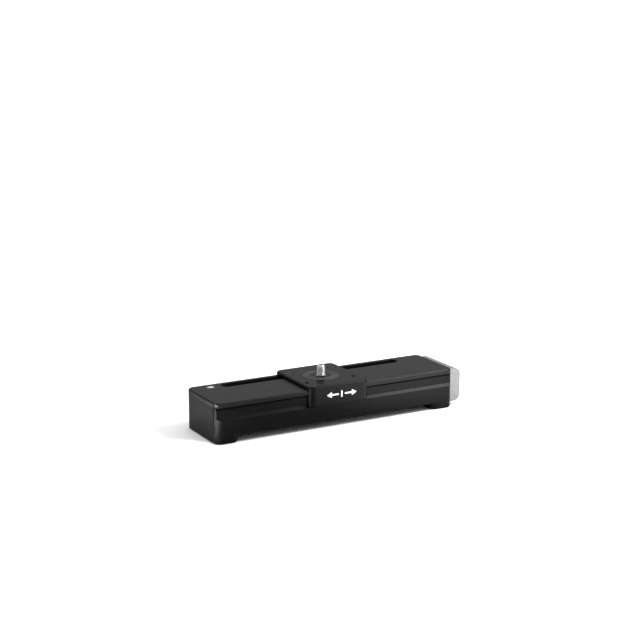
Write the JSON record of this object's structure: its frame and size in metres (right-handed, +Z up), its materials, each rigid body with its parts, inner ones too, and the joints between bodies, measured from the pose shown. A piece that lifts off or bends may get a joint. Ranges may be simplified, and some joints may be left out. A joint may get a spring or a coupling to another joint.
{
  "type": "camera slider",
  "caption": "Compact motorised camera slider: a belt-driven carriage with a camera screw runs along a low rail on guide rods, with tripod sockets underneath.",
  "frame": {"origin": "centre of the large tripod socket's mouth, on the underside of the rail; the feet reach 8 mm below it", "axes": "+X along the rail towards the grey module and the motor, +Y from the front face to the back with the slot, +Z up out of the camera stud"},
  "size_m": [0.3201, 0.0862, 0.0624],
  "materials": {
    "rail_black": "black satin anodised",
    "lid_black": "black satin anodised, fine bead-blasted grain",
    "carriage_black": "black satin anodised",
    "foot_rubber": "matte black",
    "grip_rubber": "matte black, fine concentric ribs",
    "black_screws": "black oxide",
    "bare_aluminium": "clear anodised",
    "rod_steel": "ground and polished",
    "insert_steel": "stainless, turned",
    "bearing_steel": "ground",
    "motor_metal": "dark grey",
    "belt_rubber": "black, fibre-backed",
    "board_green": "green solder mask",
    "chip_black": "matte black",
    "post_brass": "turned",
    "cable_grey": "ribbon cable grey",
    "button_grey": "satin grey with a white mark",
    "module_grey": "light grey, fine texture",
    "cell_wrap": "blue shrink wrap",
    "glide_white": "natural acetal"
  },
  "bodies": {
    "chassis": {"rail_body": "rail_black", "end_cap_left": "rail_black", "end_cap_right": "rail_black", "top_plate": "lid_black", "foot_pad_left": "foot_rubber", "foot_pad_right": "foot_rubber", "foot_screws": "black_screws", "lid_screws": "black_screws", "floor_screws": "black_screws", "tension_screw": "black_screws", "motor_bracket": "bare_aluminium", "idler_bracket": "bare_aluminium", "tripod_plate": "bare_aluminium", "module_plate": "bare_aluminium", "guide_rod_front": "rod_steel", "guide_rod_rear": "rod_steel", "idler_axle": "rod_steel", "tripod_bush_center": "insert_steel", "tripod_bush_sides": "insert_steel", "motor_bearings": "bearing_steel", "idler_bearings": "bearing_steel", "usb_port": "bearing_steel", "motor_can": "motor_metal", "motor_end_bell": "motor_metal", "timing_belt": "belt_rubber", "control_board": "board_green", "button_board": "board_green", "module_board": "board_green", "board_parts": "chip_black", "button_switch": "chip_black", "limit_switches": "chip_black", "board_posts": "post_brass", "motor_cable": "cable_grey", "module_housing": "module_grey", "battery_cell": "cell_wrap"},
    "carriage": {"carriage_plate": "carriage_black", "front_apron": "carriage_black", "rear_apron": "carriage_black", "carriage_neck": "bare_aluminium", "plate_screws": "black_screws", "neck_screws": "black_screws", "apron_pins": "rod_steel", "truck_block": "bare_aluminium", "linear_bearing_1": "bearing_steel", "linear_bearing_2": "bearing_steel", "linear_bearing_3": "bearing_steel", "linear_bearing_4": "bearing_steel", "belt_clamp_base": "bare_aluminium", "belt_clamp_cap": "bare_aluminium", "clamp_screws": "black_screws", "camera_stud": "insert_steel", "camera_pad": "grip_rubber", "glide_pads": "glide_white"},
    "drive_shaft": {"drive_pulley": "bare_aluminium", "motor_shaft": "rod_steel", "motor_rotor": "motor_metal"},
    "idler": {"idler_pulley": "bare_aluminium"},
    "button": {"power_button": "button_grey"}
  },
  "joints": [
    {"name": "carriage_slide", "type": "slide", "parent": "chassis", "child": "carriage", "axis": [1, 0, 0], "range_m": [-0.075, 0.079]},
    {"name": "drive_spin", "type": "hinge", "parent": "chassis", "child": "drive_shaft", "pos_m": [0.1285, 0.012, 0.0185], "axis": [0, 1, 0], "range_deg": [-720, 720]},
    {"name": "idler_spin", "type": "hinge", "parent": "chassis", "child": "idler", "pos_m": [-0.1285, 0.012, 0.0185], "axis": [0, 1, 0], "range_deg": [-720, 720]},
    {"name": "button_press", "type": "slide", "parent": "chassis", "child": "button", "axis": [0, 0, 1], "range_m": [-0.0006, 0], "stiffness_N_per_m": 800, "springref_m": 0.0005}
  ],
  "couplings": [
    {"joint": "drive_spin", "follows": "carriage_slide", "rad_per_m": 155.04},
    {"joint": "idler_spin", "follows": "carriage_slide", "rad_per_m": 155.04}
  ]
}
